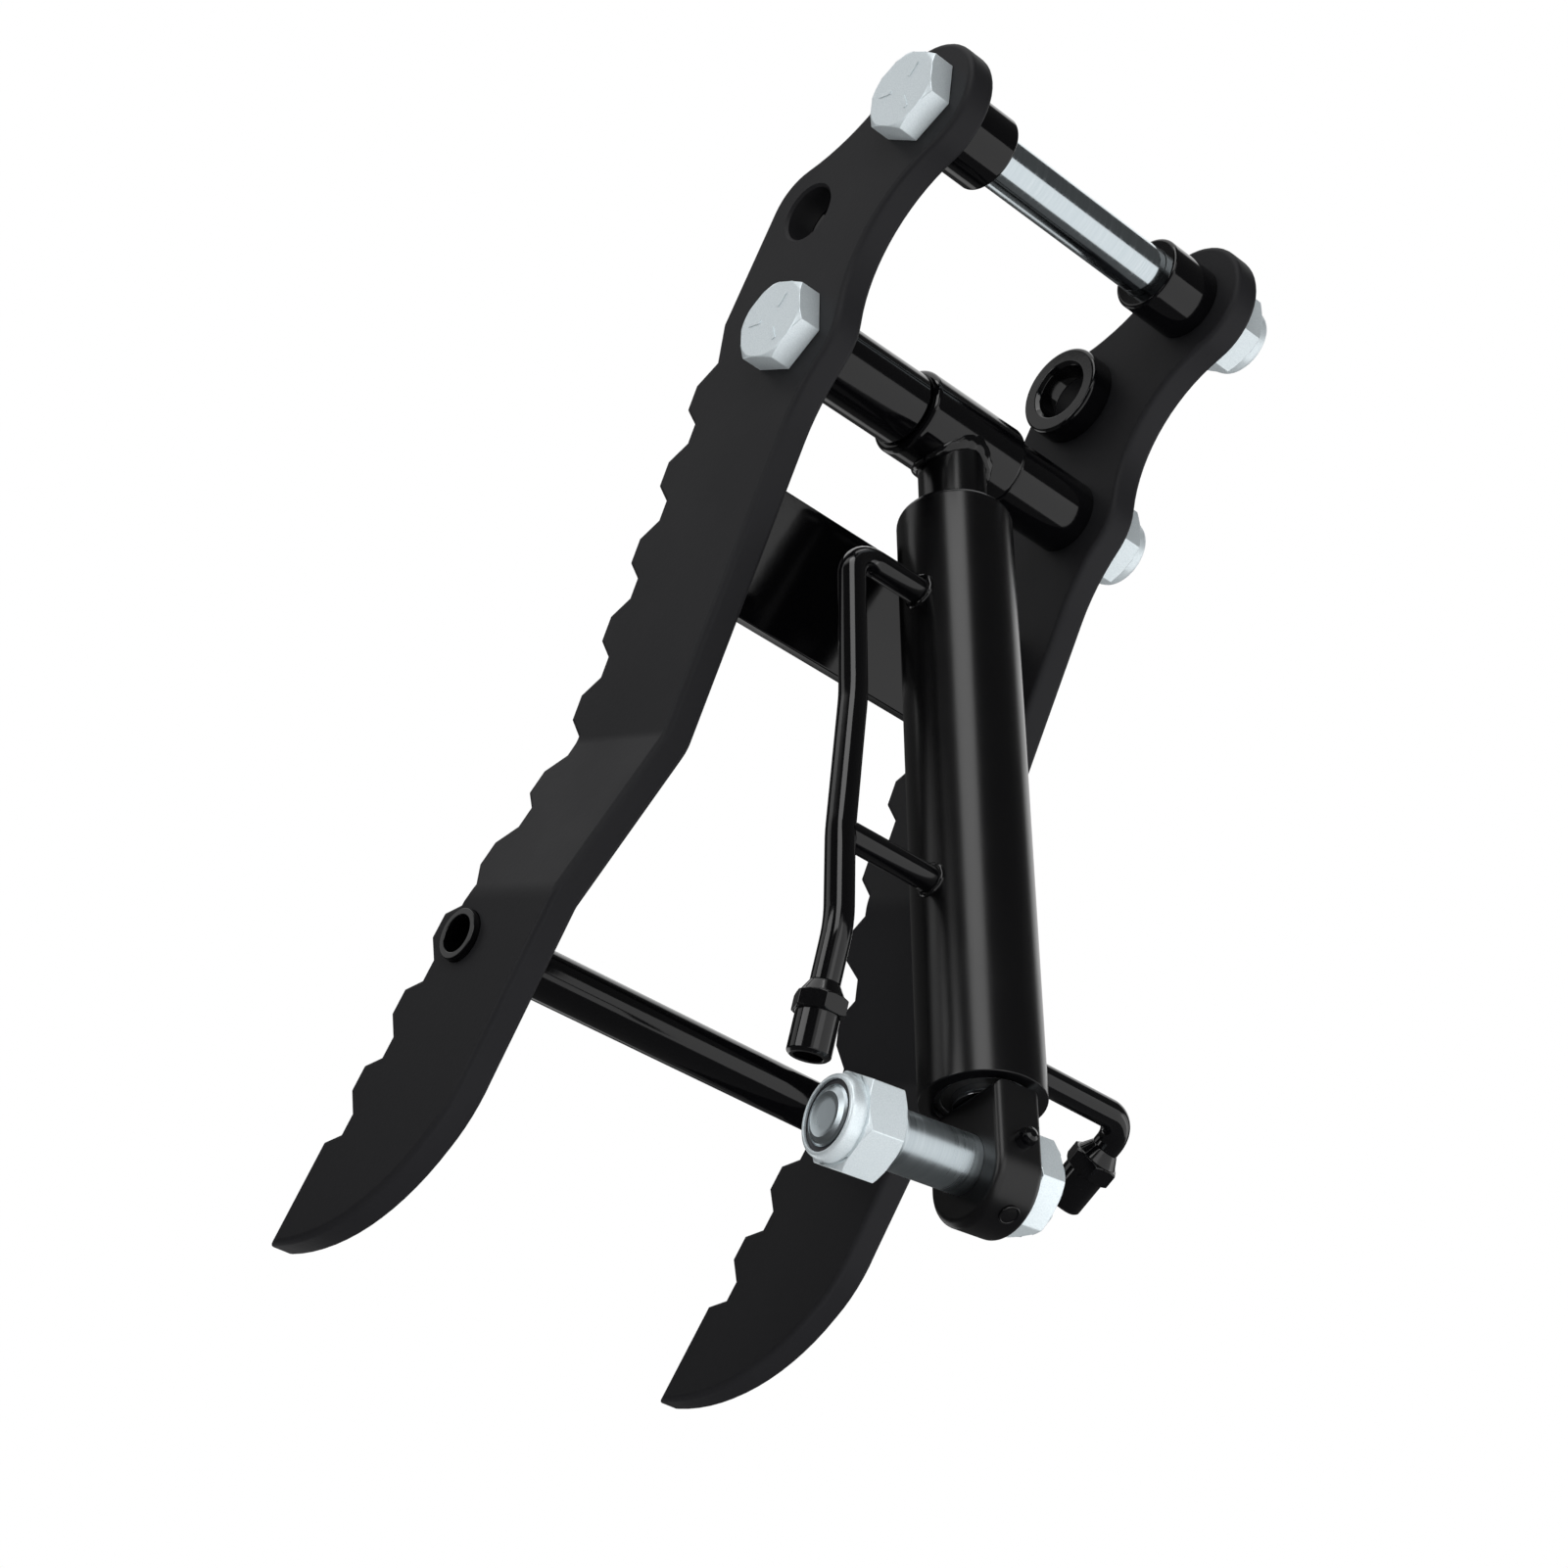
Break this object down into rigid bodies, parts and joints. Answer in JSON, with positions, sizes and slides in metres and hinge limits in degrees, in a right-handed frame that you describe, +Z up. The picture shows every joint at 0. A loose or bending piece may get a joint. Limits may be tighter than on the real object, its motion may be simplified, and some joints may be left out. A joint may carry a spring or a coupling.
{
  "type": "hydraulic excavator thumb",
  "caption": "Hydraulic thumb for a small excavator: two joggled, toothed tines on bolts, with a double-acting cylinder that ends in a bolted rod eye.",
  "frame": {"origin": "middle of the pivot bolt, halfway between the two tines", "axes": "+X along the pivot bolt towards the right tine, +Y towards the teeth, +Z up, opposite to the hanging cylinder"},
  "size_m": [0.2, 0.3351, 0.4174],
  "materials": {
    "satin_black": "satin black paint",
    "gloss_black": "gloss black paint",
    "zinc": "bright zinc plate",
    "bare_steel": "machined steel",
    "chrome_rod": "ground hard chrome",
    "iron": "machined cast iron",
    "seal_rubber": "black nitrile rubber",
    "nylon": "dark nylon"
  },
  "bodies": {
    "thumb": {"tine_left": "satin_black", "tine_right": "satin_black", "cross_plate": "gloss_black", "cross_tube": "gloss_black", "pivot_boss_left": "gloss_black", "pivot_boss_right": "gloss_black", "spare_boss_left": "gloss_black", "spare_boss_right": "gloss_black", "swing_sleeve_left": "gloss_black", "swing_sleeve_right": "gloss_black", "pivot_bolt": "zinc", "pivot_nut": "zinc", "pivot_nut_insert": "nylon", "swing_bolt": "zinc", "swing_nut": "zinc", "swing_nut_insert": "nylon"},
    "barrel": {"base_eye": "gloss_black", "base_cap": "gloss_black", "barrel_tube": "gloss_black", "gland": "bare_steel", "gland_oring": "seal_rubber", "wiper": "seal_rubber", "rod_seal": "seal_rubber", "long_pipe": "gloss_black", "short_pipe": "gloss_black", "long_union": "gloss_black", "short_union": "gloss_black", "pipe_stay": "gloss_black"},
    "rod": {"rod": "chrome_rod", "piston": "iron", "wear_ring": "nylon", "piston_seal": "seal_rubber", "piston_nut": "bare_steel", "rod_eye": "gloss_black", "grease_nipple": "bare_steel"},
    "rod_pin": {"rod_bolt": "zinc", "rod_nut": "zinc", "rod_nut_insert": "nylon"}
  },
  "joints": [
    {"name": "cylinder_swing", "type": "hinge", "parent": "thumb", "child": "barrel", "pos_m": [0.0035, 0.067, -0.065], "axis": [1, 0, 0], "range_deg": [-100, 12]},
    {"name": "rod_extend", "type": "slide", "parent": "barrel", "child": "rod", "axis": [0, 0, -1], "range_m": [0, 0.135]},
    {"name": "rod_pin_spin", "type": "hinge", "parent": "rod", "child": "rod_pin", "pos_m": [0.0035, 0.067, -0.372], "axis": [0.9903, -0.1392, 0], "continuous": true}
  ]
}
